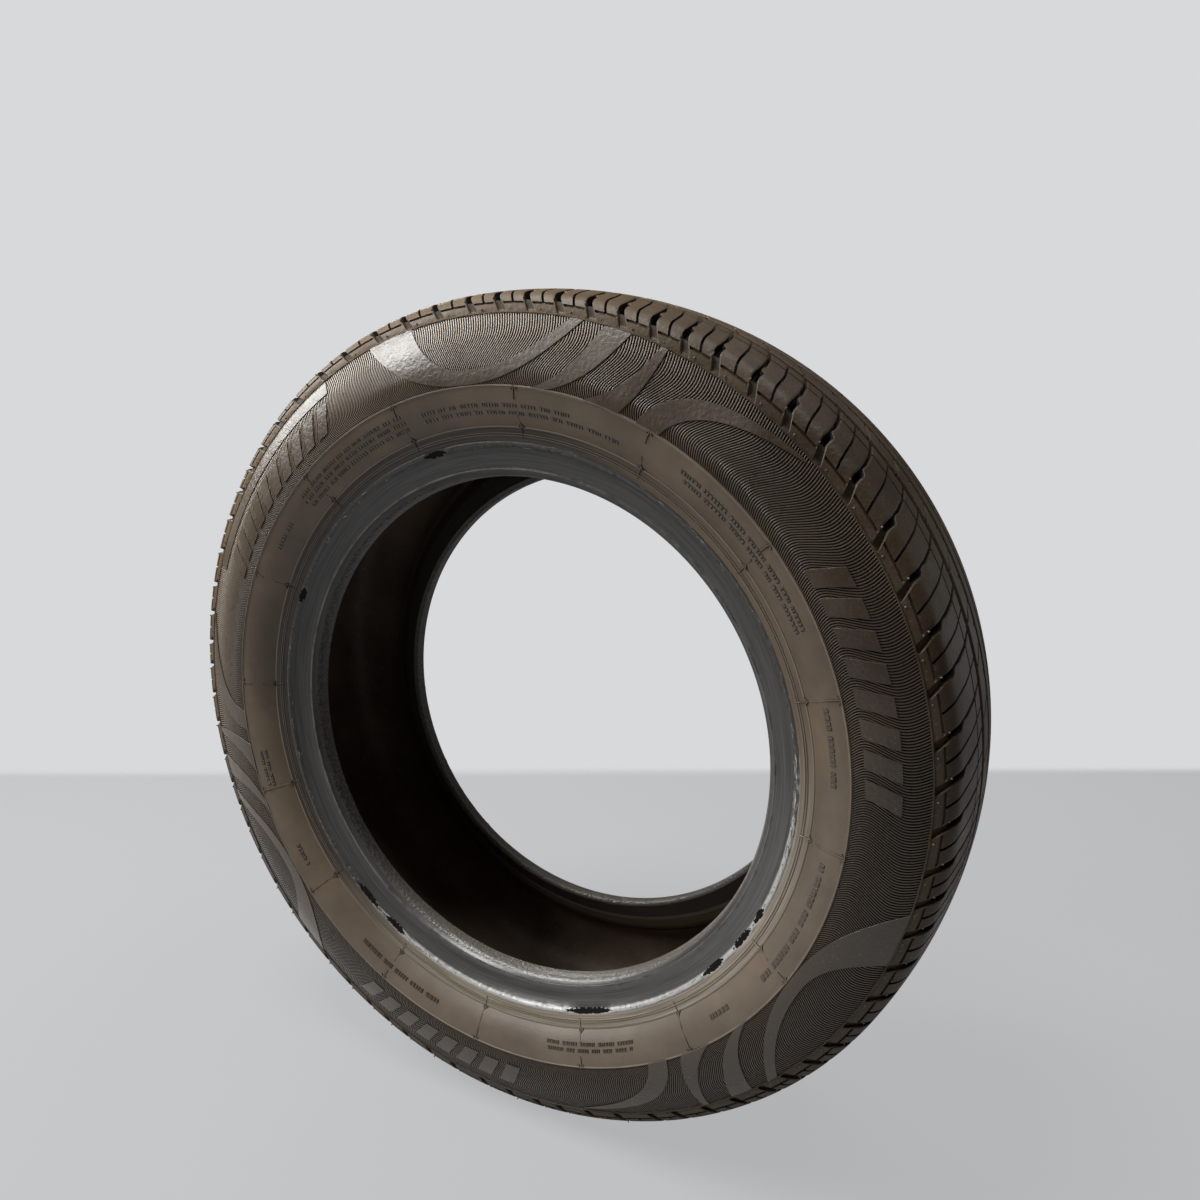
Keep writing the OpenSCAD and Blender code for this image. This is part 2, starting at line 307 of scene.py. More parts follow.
def dust_and_light_share(g, where):
    """How much settled dust and painted light from the upper left there is: most at the top, a little
    to the left, and on what faces up there, which is the outer half of the sidewall and the tread"""
    x, _, z = g.node("ShaderNodeSeparateXYZ", {"Vector": where}).outputs
    height = g.maths("SUBTRACT", g.maths("MULTIPLY", z, 0.8), g.maths("MULTIPLY", x, 0.6))
    outer_half = g.between(from_axis(g, x, z), 0.23, 0.262, 0.2, 1.0)
    return g.maths("MULTIPLY", g.between(height, 0.06, 0.24), outer_half)


def rubber(name, clean, dusty, speck, rough=0.62, coarse=0.5, shine=0.6, dust_and_light_colour=None):
    """Weathered rubber: dust in soft patches, finer specks, a grain that is more or less coarse, and a
    lighter colour at the top and a little to the left, for settled dust and painted light from the
    upper left, if there is any"""
    g = Graph(name)
    where = g.node("ShaderNodeTexCoord").outputs["Object"]
    patches = g.between(g.noise(where, 14.0, 4.0), 0.35, 0.68)
    grain = g.noise(where, 420.0, 2.0)
    mottle = g.noise(where, 90.0, 3.0)
    specks = g.between(g.noise(where, 620.0, 1.0, 0.4), 0.66, 0.76)
    dust = g.maths("MULTIPLY", g.maths("ADD", g.maths("MULTIPLY", patches, 0.6),
                                       g.maths("MULTIPLY", mottle, 0.7)), 0.55)
    colour = g.mix(dust, shade(clean), shade(dusty))
    # Lighter at the top and a little to the left: settled dust and painted light from the upper left
    if dust_and_light_colour:
        colour = g.mix(g.maths("MULTIPLY", dust_and_light_share(g, where), 0.7), colour, shade(dust_and_light_colour))
    colour = g.mix(g.maths("MULTIPLY", specks, 0.22), colour, shade(speck))
    height = g.maths("ADD", grain, g.maths("MULTIPLY", mottle, 1.5))
    g.set(g.shader, {
        "Base Color": colour,
        "Roughness": g.between(dust, 0.1, 0.7, rough - 0.1, rough + 0.12),
        "Specular IOR Level": shine,
        "Normal": g.bump(height, 0.00012 * coarse),
    })
    return g.material


def round_the_bead(g, angle, r, per_mm):
    """Where noise is read that runs in streaks round the bead: the more per millimetre, the
    finer the streaks"""
    return g.node("ShaderNodeCombineXYZ", {
        "X": g.maths("MULTIPLY", g.maths("COSINE", angle), 2.4),
        "Y": g.maths("MULTIPLY", g.maths("SINE", angle), 2.4),
        "Z": g.maths("MULTIPLY", r, per_mm),
    }).outputs[0]


def near_to(g, value, middle, far, near):
    """1 where a value is nearer to the middle than near, 0 where it is farther than far"""
    return g.between(g.maths("ABSOLUTE", g.maths("SUBTRACT", value, middle)), far, near)


def bead_rubber():
    """The sidewall's foot and the bead: dust above the step, and below it bare grey rubber that the
    rim rubbed in streaks. The flank is lighter to the right, which is painted light. Low on the right
    the flank, ridge and seat are bright and glossy, partly from rim wear and partly from a painted
    sheen of the light from the upper left. The ridge is worn bright in chips"""
    g = Graph("bead_rubber")
    where = g.node("ShaderNodeTexCoord").outputs["Object"]
    x, y, z = g.node("ShaderNodeSeparateXYZ", {"Vector": where}).outputs
    r = g.maths("MULTIPLY", from_axis(g, x, z), 1 / MM)
    w = g.maths("MULTIPLY", g.maths("ABSOLUTE", y), 1 / MM)
    angle = g.maths("ARCTAN2", z, x)
    # Low on the right: rubbed by the rim, and also painted with a sheen of the light from the upper
    # left
    low_right = g.maths("SUBTRACT", g.maths("MULTIPLY", x, 0.45), g.maths("MULTIPLY", z, 0.9))
    rubbed_and_sheen = g.between(low_right, 0.02, 0.16)
    streaks = g.between(g.noise(round_the_bead(g, angle, r, 0.9), 1.6, 4.0, 0.6), 0.3, 0.75)
    chips = g.noise(round_the_bead(g, angle, r, 0.12), 14.0, 3.0, 0.6)
    patches = g.between(g.noise(where, 16.0, 4.0), 0.35, 0.68)
    mottle = g.noise(where, 110.0, 3.0)
    grain = g.noise(where, 420.0, 2.0)
    dust = g.maths("ADD", g.maths("MULTIPLY", patches, 0.4), g.maths("MULTIPLY", mottle, 0.35))

    wall = g.mix(dust, shade((77, 66, 54)), shade((117, 101, 83)))
    flank = g.mix(streaks, shade((34, 29, 24)), shade((66, 56, 46)))
    # Lighter to the right: painted light, because there the flank faces the light from the left
    flank = g.mix(g.between(x, 0.02, 0.17), flank, g.mix(streaks, shade((82, 70, 56)),
                                                          shade((108, 93, 76))))
    # A bright pale colour: polish from the rim plus a painted sheen
    polished_and_sheen = g.mix(streaks, shade((112, 100, 84)), shade((164, 154, 138)))
    flank = g.mix(g.maths("MULTIPLY", rubbed_and_sheen, 0.75), flank, polished_and_sheen)
    bare = g.mix(streaks, shade((52, 52, 51)), shade((78, 76, 74)))
    below_step = g.between(r, STEP_R + 0.1, STEP_R - 0.2)
    colour = g.mix(g.between(r, RIM_RIDGE_R + 2.6, RIM_RIDGE_R + 0.8), flank, bare)
    colour = g.mix(below_step, wall, colour)

    # The ridge is worn bright in chips, with more of them low on the right, where the bright colour is
    # also a painted highlight
    worn_and_highlight = g.between(g.maths("ADD", chips, g.maths("MULTIPLY", rubbed_and_sheen, 0.3)), 0.62, 0.72)
    worn_and_highlight = g.maths("MULTIPLY", worn_and_highlight, near_to(g, r, RIM_RIDGE_R + 0.3, 2.6, 1.0))
    colour = g.mix(g.maths("MULTIPLY", worn_and_highlight, 0.75), colour, shade((186, 184, 180)))
    # A lighter grey in patches on the heel ridge: partly wear, partly a painted highlight
    heel = g.maths("MULTIPLY", near_to(g, r, HEEL_RIDGE_R, 1.6, 0.5),
                   g.maths("GREATER_THAN", w, HEEL_W - 0.6))
    heel = g.maths("MULTIPLY", heel, g.between(mottle, 0.3, 0.6))
    colour = g.mix(g.maths("MULTIPLY", heel, 0.4), colour, shade((128, 125, 120)))
    seat = g.maths("MULTIPLY", g.between(r, BORE_R + 3.0, BORE_R + 1.2),
                   g.between(w, HEEL_W - 2.0, HEEL_W - 4.0))
    pebbles = g.between(g.noise(where, 460.0, 1.0), 0.35, 0.65)
    fabric = g.mix(pebbles, shade((44, 42, 40)), shade((68, 65, 60)))
    # The seat is lighter low on the right: rim wear plus painted light
    fabric = g.mix(g.maths("MULTIPLY", rubbed_and_sheen, 0.6), fabric, shade((112, 107, 98)))
    colour = g.mix(seat, colour, fabric)

    rough = g.mix(rubbed_and_sheen, (0.5,) * 4, (0.3,) * 4)
    rough = g.mix(below_step, (0.52,) * 4, rough)
    shine = g.between(rubbed_and_sheen, 0.0, 1.0, 0.35, 0.7)
    height = g.maths("ADD", g.maths("MULTIPLY", grain, 0.6), g.maths("MULTIPLY", streaks, 0.15))
    height = g.maths("ADD", height, g.maths("MULTIPLY", g.maths("MULTIPLY", pebbles, seat), 1.5))
    g.set(g.shader, {"Base Color": colour, "Roughness": rough, "Specular IOR Level": shine,
                     "Normal": g.bump(height, 0.00013)})
    return g.material


def liner_rubber():
    """The inside: a dusty brown that is lighter than the liner's real near black, as painted light
    standing in for the light that reaches inside
    """
    g = Graph("liner_rubber")
    where = g.node("ShaderNodeTexCoord").outputs["Object"]
    patches = g.between(g.noise(where, 9.0, 4.0), 0.4, 0.75)
    specks = g.between(g.noise(where, 300.0, 1.0), 0.62, 0.72)
    colour = g.mix(patches, shade((70, 58, 49)), shade((104, 88, 74)))
    colour = g.mix(g.maths("MULTIPLY", specks, 0.3), colour, shade((120, 106, 94)))
    g.set(g.shader, {"Base Color": colour, "Roughness": 0.62, "Specular IOR Level": 0.4,
                     "Normal": g.bump(g.noise(where, 160.0, 3.0), 0.0003, 0.5)})
    return g.material


# The last colour that some of these take is settled dust and painted light from the upper left, most
# at the top
TREAD_RUBBER = rubber("tread_rubber", (50, 41, 31), (84, 69, 51), (140, 124, 103), rough=0.52,
                      coarse=2.2, shine=0.3, dust_and_light_colour=(104, 86, 64))
FOOT_RUBBER = rubber("foot_rubber", (54, 45, 35), (84, 71, 55), (124, 108, 88), rough=0.7,
                     coarse=1.5, shine=0.25)
# A near black for the deep parts of the grooves and cuts: painted shade
DEEP_SHADE_RUBBER = rubber("deep_shade_rubber", (24, 21, 18), (44, 37, 29), (70, 60, 48), rough=0.75,
                     shine=0.25)
# A near black for the gouges in the rim ridge: partly their own dark rubber, partly painted shade
# inside them
GOUGE_AND_SHADE_RUBBER = rubber("gouge_and_shade_rubber", (14, 12, 11), (26, 23, 20), (60, 54, 48), rough=0.8,
                      coarse=3.0, shine=0.1)
RIB_RUBBER = rubber("ribbed_rubber", (66, 55, 43), (98, 82, 64), (150, 133, 111), rough=0.36,
                    dust_and_light_colour=(172, 155, 133))
# A dark colour for the faces that slope into the ribs' valleys and for the sides of raised strips:
# painted shade
VALLEY_SHADE_RUBBER = rubber("valley_shade_rubber", (24, 20, 17), (42, 35, 28), (70, 60, 48), rough=0.75,
                       shine=0.25)
BAND_RUBBER = rubber("band_rubber", (58, 49, 39), (82, 70, 56), (134, 121, 104), rough=0.4,
                     coarse=2.4, dust_and_light_colour=(88, 77, 64))
# A lighter colour for the crests of raised rings and for the step's lip: a painted highlight where
# these edges catch the light
EDGE_HIGHLIGHT_RUBBER = rubber("edge_highlight_rubber", (94, 84, 71), (128, 115, 98), (152, 139, 122), rough=0.5,
                     coarse=0.1)
BEAD_RUBBER = bead_rubber()
LINER_RUBBER = liner_rubber()
HAIR_RUBBER = rubber("hair_rubber", (80, 72, 62), (118, 108, 96), (146, 136, 124))


# Shoulder blocks

# The shoulder groove's two edges and the thin cut's middle: length along the outline, and how
# far they have turned from the pitch's start, in millimetres
GROOVE_LEFT = [(-1.5, -2.6), (0, -2.4), (5, 0.7), (10, 4.0), (14, 5.0), (19.5, 6.0), (21.5, 8.2),
               (30, 9.8), (38, 12.0), (45, 13.9), (52, 16.8), (57.4, 19.2), (60.6, 20.6)]
GROOVE_RIGHT = [(-1.5, 2.0), (0, 2.5), (5, 5.4), (10, 8.1), (15, 9.3), (19.5, 9.9), (22, 10.5),
                (30, 12.1), (38, 14.3), (45, 16.2), (52, 19.1), (57.4, 21.5), (60.6, 22.9)]
CUT_PATH = [(-1.5, 0.2), (0, 1.0), (5.5, 4.0), (10, 6.4), (15, 8.2), (22, 10.0), (28, 11.4),
            (38, 14.0), (48, 17.6), (57.4, 21.0), (60.6, 22.4)]
CUT_SHARE = 0.47
GROOVE_FLOOR = [(-1, 0.2), (0, 0.9), (1.5, 1.8), (6, 2.6), (10.5, 3.3), (12.5, 5.4), (14, 6.4),
                (20, 6.4), (23, 5.9), (60.6, 5.6)]
CUT_FLOOR = [(5, 0), (5.6, 1.2), (8, 3.4), (12, 4.2), (50, 4.2), (56, 3.6), (60.6, 3.6)]
STEP_LINE = [(4.25, 0), (4.45, 1.2), (5.55, 1.2), (5.75, 0)]


def shoulder_rows():
    """Lengths along the outline for the surface's rows, and the depth that the main groove and
    the thin line give to each"""
    at, width, depth = SHOULDER_LINE
    line = [length_at(at + e) for e in (width / 2 + 0.15, width / 2, -width / 2, -width / 2 - 0.15)]
    groove_w, groove_half = OUTER_GROOVE[0], OUTER_GROOVE[1] / 2
    wall = [length_at(groove_w + e) for e in (groove_half + 0.5, groove_half, groove_half - 0.9, 0)]
    rows = [-1.2, -0.95, -0.75, -0.3, -0.05, 0.7, 1.8, 3.2, 4.25, 4.45, 5.55, 5.75, 7, 8.5, 10,
            11.5, 12.5, 14, 16, 18, 19.5, 20.5, 21.5, 23, 26, 29.5, 33, 37, 41, 44, *line,
            50, 53, *wall]
    rows = np.array(rows)
    line_depth = straight(list(zip(line, (0, depth, depth, 0))), rows)
    wall_depth = straight(list(zip(wall, (0, 0.3, GROOVE_DEPTH, GROOVE_DEPTH))), rows)
    ring = straight([(-1.2, 0.8), (-0.95, 0), (-0.75, -RING_H * 0.9), (-0.3, -RING_H),
                     (-0.05, 0)], rows)
    return rows, np.maximum(line_depth, wall_depth) + ring


def shoulder(side):
    """The shoulder blocks of one side, from the upper ring to the outer main groove"""
    rows, base = shoulder_rows()
    base_of_wall = length_at(OUTER_GROOVE[0] + OUTER_GROOVE[1] / 2) - 0.01
    hidden = np.array([length_at(OUTER_GROOVE[0]), 40.0, 17.0, 3.0, -1.2])
    hidden_depth = np.array([10.0, 9.6, 9.4, 4.0, 1.6])
    s = np.concatenate([rows, hidden])
    r = SHOULDER.at(s)[0]
    per_mm = DEG / r
    left = smooth(GROOVE_LEFT, s) * per_mm
    right = smooth(GROOVE_RIGHT, s) * per_mm
    cut = smooth(CUT_PATH, s) * per_mm
    start = pitch_starts(side)
    a = start[:-1][None, :]
    pitch = np.diff(start)[None, :]
    left, right, cut, mm = (v[:, None] for v in (left, right, cut, per_mm))
    block_start = a + right + 0.5 * mm
    block_end = a + pitch + left - 0.5 * mm
    middle = a + cut + CUT_SHARE * pitch
    columns = [
        a + left - 0.5 * mm, a + left, a + left + 0.3 * mm, a + right - 0.3 * mm, a + right,
        block_start, block_start + 1.1 * mm, (block_start + middle) / 2,
        middle - 0.8 * mm, middle - 0.45 * mm, middle + 0.45 * mm, middle + 0.8 * mm,
        (block_end + middle) / 2, block_end - 0.6 * mm]
    floor = smooth(GROOVE_FLOOR, s)
    cut_floor = straight(CUT_FLOOR, s)
    step = straight(STEP_LINE, s)
    none = np.zeros_like(s)
    rim = np.minimum(0.28, floor)
    depths = [none, rim, floor, floor, rim, none, step, step, step,
              np.maximum(cut_floor, step), np.maximum(cut_floor, step), step, step, step]
    base = np.concatenate([base, none[:len(hidden)]])
    depths = [np.where(s < 0, base, np.maximum(d, base)) for d in depths]
    for d in depths:
        d[len(rows):] = hidden_depth
    angle = np.stack([np.broadcast_to(c, (len(s), pitch.shape[1])) for c in columns], -1)
    depth = np.stack(depths, -1)[:, None, :] + np.zeros_like(angle)
    ring_rows = (s > -1.1) & (s < 0)
    uneven = 0.16 * ripple(angle[ring_rows], 3, 40, 400)
    depth[ring_rows] += uneven
    r, w = SHOULDER.at(s[:, None, None], depth)
    shape = (len(s), -1)
    # Deep in the main groove and the thin cut, and below the main groove's wall, faces take the dark
    # painted shade; the groove's shallow foot takes the foot rubber
    deep = np.zeros((len(s), len(columns)), np.int32)
    deep[:, 1:4] = np.where(s > 10.5, 1, np.where(s > 1.5, 2, 0))[:, None]
    deep[:, 8:11] = (s > 5.6)[:, None]
    deep[(base_of_wall <= s), :] = 1
    choice = np.tile(deep, (1, pitch.shape[1]))
    return ring_piece("shoulder_" + side, angle.reshape(shape), r.reshape(shape),
                      w.reshape(shape), side, [TREAD_RUBBER, DEEP_SHADE_RUBBER, FOOT_RUBBER],
                      choice=choice)


# Ribs between the main grooves

RIB_CUT_PATH = [(9.5, 9.4), (12.5, 8.8), (17, 6.6), (21, 3.2), (25, 0.8), (28.7, -0.8), (32, -1.5)]
RIB_CUT_HALF_W = [(12.5, 0.5), (16, 0.8), (20, 1.5), (24, 1.3), (29, 0.7)]


def rib(side):
    """The rib between the two main grooves of one side, with a slanted cut for each pitch"""
    inner, inner_half = INNER_GROOVE[0], INNER_GROOVE[1] / 2
    outer, outer_half = OUTER_GROOVE[0], OUTER_GROOVE[1] / 2
    w = np.array([outer, outer - outer_half + 0.9, outer - outer_half, outer - outer_half - 0.4,
                  26, 24, 22, 20, 18, 16.5, 16, 14, inner + inner_half + 0.4, inner + inner_half,
                  inner + inner_half - 0.9, inner, inner, 22.0, outer])
    groove = np.array([GROOVE_DEPTH, GROOVE_DEPTH, 0.3] + [0] * 10 + [0.3, GROOVE_DEPTH, GROOVE_DEPTH])
    top = len(groove)
    mm = (DEG / crown(w))[:, None]
    path = smooth(RIB_CUT_PATH, w)[:, None] * mm
    half = straight(RIB_CUT_HALF_W[::1], w)[:, None] * mm
    start = pitch_starts(side)
    a = start[:-1][None, :]
    pitch = np.diff(start)[None, :]
    middle = a + path
    notch = middle + 0.5 * pitch
    edges = [middle - half - 0.3 * mm, middle - half, middle + half, middle + half + 0.3 * mm]
    notch_edges = [notch - 1.0 * mm, notch - 0.7 * mm, notch + 0.7 * mm, notch + 1.0 * mm]
    columns = edges + [middle + 0.25 * pitch] + notch_edges + [middle + 0.75 * pitch]
    cut_depth = np.where(w > inner + inner_half - 0.5, 4.5, 0)
    notch_depth = straight([(9.5, 4), (16, 4), (16.5, 0), (32, 0)], w)
    none = np.zeros_like(w)
    depths = [none, cut_depth, cut_depth, none, none, none, notch_depth, notch_depth, none, none]
    full = []
    for d in depths:
        d = d.copy()
        d[:top] = np.maximum(d[:top], groove)
        d[top:] = 10
        full.append(d)
    angle = np.stack([np.broadcast_to(c, (len(w), pitch.shape[1])) for c in columns], -1)
    depth = np.stack(full, -1)[:, None, :] + np.zeros_like(angle)
    radius = crown(w)[:, None, None] - depth
    shape = (len(w), -1)
    return ring_piece("rib_" + side, angle.reshape(shape), radius.reshape(shape),
                      np.broadcast_to(w[:, None], angle.reshape(shape).shape), side, TREAD_RUBBER)


def centre_rib():
    """The plain rib in the middle of the tread"""
    at, half = INNER_GROOVE[0], INNER_GROOVE[1] / 2
    edge = at - half
    w = np.array([at, edge + 0.9, edge, edge - 0.4, 3, 0, -3, 0.4 - edge, -edge, -edge - 0.9, -at,
                  -at, at])
    depth = np.array([GROOVE_DEPTH, GROOVE_DEPTH, 0.3, 0, 0, 0, 0, 0, 0.3, GROOVE_DEPTH,
                      GROOVE_DEPTH, 10, 10])
    angle = np.arange(0, 360, 0.5)
    shape = (len(w), len(angle))
    r = np.broadcast_to((crown(w) - depth)[:, None], shape)
    return ring_piece("rib_centre", np.broadcast_to(angle, shape), r,
                      np.broadcast_to(w[:, None], shape), "near", TREAD_RUBBER)


# Sidewalls

RIBS_ROUND = 1000
RIB_DEPTH = 0.6
# How far a rib has turned, in degrees, at a distance from the axis
RIB_WAY = [(226, 1.4), (228.5, 1.75), (232, 2.3), (235.5, 2.6), (239, 2.45), (244, 1.7),
           (251, 0.6), (255, 0.12), (260, 0.0), (264.5, 0.22), (268.3, 0.5), (270, 0.6)]


def ribbed_field(side):
    """The field of fine wavy ribs between the middle and the upper ring"""
    r = np.concatenate([np.linspace(UPPER_RING_R - 0.4, MIDDLE_RING_R + 0.2, 26),
                        [MIDDLE_RING_R + 0.2, 248.0, UPPER_RING_R - 0.4]])
    sunk = np.zeros(len(r))
    sunk[-3:] = 1.6
    shares = np.array([0.0, 0.3, 0.7])
    depths = np.array([RIB_DEPTH, 0.04, 0.04])
    rib_number = np.arange(RIBS_ROUND)
    base = ((rib_number[:, None] + shares) * 360 / RIBS_ROUND).reshape(-1)
    angle = base[None, :] + smooth(RIB_WAY, r)[:, None]
    relief = np.tile(depths, RIBS_ROUND)[None, :]
    depth = np.where(sunk[:, None] > 0, sunk[:, None], relief)
    radius = r[:, None] + np.zeros_like(angle)
    # The two faces that slope into each valley take the dark valley colour, which is painted shade
    choice = np.tile([1, 0, 1], RIBS_ROUND)
    return ring_piece("ribbed_field_" + side, angle, radius, wall_w(radius, depth), side,
                      [RIB_RUBBER, VALLEY_SHADE_RUBBER], sharp=60, choice=choice)


# Places where the bare rim ridge is gouged: from one angle to another, on the near side
GOUGES = [(-135, -129), (-125, -120), (-75, -66), (-41, -36), (-32, -27), (-25, -22), (102, 106),
          (151, 154)]


# The flank below the step stands this far outside the sidewall's foot.
LIP = 0.5
THIN_RINGS_BELOW = (3.8, 5.1)
THIN_RING_W = 0.6


def flank(d):
    """A point at a distance d below the step, on the flank that falls to the rim ridge"""
    lip_w = float(wall_w(STEP_R)) + LIP
    return (STEP_R - d, lip_w - d * (lip_w - RIM_RIDGE_W) / (STEP_R - RIM_RIDGE_R))


def surface_w(r):
    """Distance of the surface from the middle plane, on the sidewall and on the flank"""
    return np.where(r > STEP_R, wall_w(np.maximum(r, STEP_R)), flank(STEP_R - r)[1])


def ring_relief(first, last, h):
    """A raised ring with sloped sides, from its outer foot to its inner foot"""
    p, q = np.array(first), np.array(last)
    way = (q - p) / np.linalg.norm(q - p)
    out = np.array([way[1], -way[0]])
    return [p, p + 0.25 * (q - p) + h * out, q - 0.25 * (q - p) + h * out, q]


def wall_point(r, depth=0.0):
    return (r, float(wall_w(r, depth)))


def bead_section():
    """The section of the sidewall's foot and the bead, from the middle ring to the toe, and
    back inside"""
    half_ring = RING_W / 2
    rows = [wall_point(MIDDLE_RING_R + 1.6, 1.7), wall_point(MIDDLE_RING_R + 0.6)]
    rows += ring_relief(wall_point(MIDDLE_RING_R + half_ring), wall_point(MIDDLE_RING_R - half_ring),
                        RING_H)
    rows += [wall_point(r) for r in np.linspace(MIDDLE_RING_R - 1, STEP_R + 0.25, 8)]
    rows += [flank(0), flank(0.8), flank(2)]
    for d in THIN_RINGS_BELOW:
        rows += ring_relief(flank(d), flank(d + THIN_RING_W), 0.4)
    rows += [flank(d) for d in (6.6, 7.8)]
    ridge_foot = np.array((RIM_RIDGE_R - 1.5, RIM_RIDGE_W - 1))
    rows += bend(flank(9), (RIM_RIDGE_R + 0.2, RIM_RIDGE_W + 1.9), ridge_foot, 9).tolist()
    heel_foot = np.array((HEEL_RIDGE_R + 0.55, HEEL_W - 0.3))
    hollow = bend(ridge_foot - 0.7, ((RIM_RIDGE_R + HEEL_RIDGE_R) / 2, HEEL_W + 1.2),
                  heel_foot + [0.2, 0], 6)
    rows += hollow.tolist()
    rows += ring_relief(heel_foot, heel_foot - [1.1, 0.5], 0.5)
    rows += [(BORE_R + 1.6, HEEL_W - 3.2), (BORE_R + 0.6, HEEL_W - 5), (BORE_R, TOE_W + 7.8),
             (BORE_R, TOE_W + 4), (BORE_R, TOE_W + 0.8), (BORE_R + 0.8, TOE_W),
             (BORE_R + 3.2, TOE_W - 0.8)]
    arc = LOWER_ARC_R - SIDEWALL_T
    turn = np.radians(np.linspace(50, 12, 4))
    rows += [(WIDEST_R - arc * math.sin(t), HALF_W - LOWER_ARC_R + arc * math.cos(t)) for t in turn]
    return np.array([tuple(p) for p in rows])


def gouged(angle, side):
    """How deep the rim ridge is gouged, from 0 to 1, at each angle"""
    share = np.zeros_like(angle)
    shift = 0 if side == "near" else 67
    for first, last in GOUGES:
        middle, half = (first + last) / 2 + shift, (last - first) / 2
        off = np.abs((angle - middle + 180) % 360 - 180) / half
        share = np.maximum(share, np.clip(1.25 - off, 0, 1) ** 0.5 * (off < 1.25))
    rough = 0.9 + 0.2 * ripple(angle, 11, 60, 500)
    return share * np.clip(rough, 0.7, 1)


def sidewall_foot(side):
    """The lower sidewall and the bead, with the marks that mounting and the rim left on it"""
    section = bead_section()
    angle = np.arange(0, 360, 1 / 3)
    r = np.repeat(section[:, :1], len(angle), 1)
    w = np.repeat(section[:, 1:], len(angle), 1)
    seed = 5 if side == "near" else 6
    near_ridge = np.exp(-((r - RIM_RIDGE_R) / 1.8) ** 2) * (w > HEEL_W)
    w -= near_ridge * (1.6 * gouged(angle, side) + 0.22 * np.abs(ripple(angle, seed, 30, 500)))
    r -= near_ridge * 0.25 * ripple(angle, seed + 20, 20, 300)
    toe = np.exp(-(((r - BORE_R - 0.8) ** 2 + (w - TOE_W) ** 2) / 2.0))
    w -= toe * 0.3 * ripple(angle, seed + 40, 40, 500)
    r += toe * 0.25 * np.abs(ripple(angle, seed + 60, 40, 500))
    heel = np.exp(-(((r - HEEL_RIDGE_R) ** 2 + (w - HEEL_W) ** 2) / 1.5))
    nub = np.exp(-((((angle + 6) % 22.5) - 11.25) / 0.45) ** 2)
    w += heel * (0.12 * ripple(angle, seed + 80, 20, 300) - 0.1 + 0.5 * nub)
    crest = section[:, 0]
    outside = section[:, 1] > HEEL_W
    # The raised rings' crests and the step's lip take the lighter edge colour, which is a painted
    # highlight
    raised = (np.abs(crest - MIDDLE_RING_R) < RING_W / 2) & outside
    raised |= np.isclose(crest, STEP_R) & outside
    for d in THIN_RINGS_BELOW:
        raised |= (np.abs(crest - STEP_R + d + THIN_RING_W / 2) < THIN_RING_W / 2 - 0.05) & outside
    off_ridge = np.abs(crest - RIM_RIDGE_R)[:, None]
    ragged = 0.1 * np.array([ripple(angle, seed + k, 80, 500) for k in range(len(crest))])
    in_gouge = gouged(angle, side) > 0.1 + 0.4 * off_ridge + ragged
    choice = np.zeros(r.shape, np.int32)
    choice[raised] = 1
    # Faces in a gouge near the ridge take the near-black gouge colour, which is partly painted shade
    choice[in_gouge & (off_ridge < 1.9) & outside[:, None]] = 2
    return ring_piece("bead_" + side, np.broadcast_to(angle, r.shape), r, w, side,
                      [BEAD_RUBBER, EDGE_HIGHLIGHT_RUBBER, GOUGE_AND_SHADE_RUBBER], sharp=40, choice=choice)


def carcass():
    """The body below the tread and the ribbed fields, with the liner inside"""
    half = [wall_point(r, 1.4) for r in (227.5, 232, 240, 250, 260, 266)]
    half = half[::-1]
    under_tread = [SHOULDER.at(s, d) for s, d in ((4, 5.0), (12, 8.6), (24, 9.0), (45, 8.8), (61, 9))]
    under_tread = [(float(p[0]), float(p[1])) for p in under_tread][::-1]
    outside = [(crown(0) - 9.6, 0.0), (crown(16) - 9.6, 16.0)] + under_tread + half
    arc = LOWER_ARC_R - SIDEWALL_T - 0.25
    foot = [(WIDEST_R - arc * math.sin(t), HALF_W - LOWER_ARC_R + arc * math.cos(t))
            for t in np.radians((54, 46, 38, 30, 22, 14, 6, 0))]
    shoulder_in = np.array(wall_point(UPPER_RING_R - 11, SIDEWALL_T))
    belt = np.array((crown(60) - 13.8, 60.0))
    wall = [wall_point(r, SIDEWALL_T) for r in np.linspace(WIDEST_R + 5, shoulder_in[0], 4)[:-1]]
    turn = bend(shoulder_in, (belt[0] - 0.8, shoulder_in[1] - 5), belt, 8).tolist()
    crown_in = [(crown(w) - 13.8, w) for w in (50, 40, 30, 20, 10)]
    inside = foot + wall + turn + crown_in
    near = np.array([tuple(p) for p in outside + inside])
    far = near[:0:-1] * [1, -1]
    section = np.concatenate([near, [(crown(0) - 13.8, 0.0)], far])
    angle = np.arange(0.0, 360.0)
    shape = (len(section), len(angle))
    return ring_piece("carcass", np.broadcast_to(angle, shape),
                      np.broadcast_to(section[:, :1], shape),
                      np.broadcast_to(section[:, 1:], shape), "near", LINER_RUBBER, sharp=50)


# Raised bands, bars and marks on the sidewall

# A degree on the sidewall is about this many millimetres.
MM_PER_DEGREE = 4.2


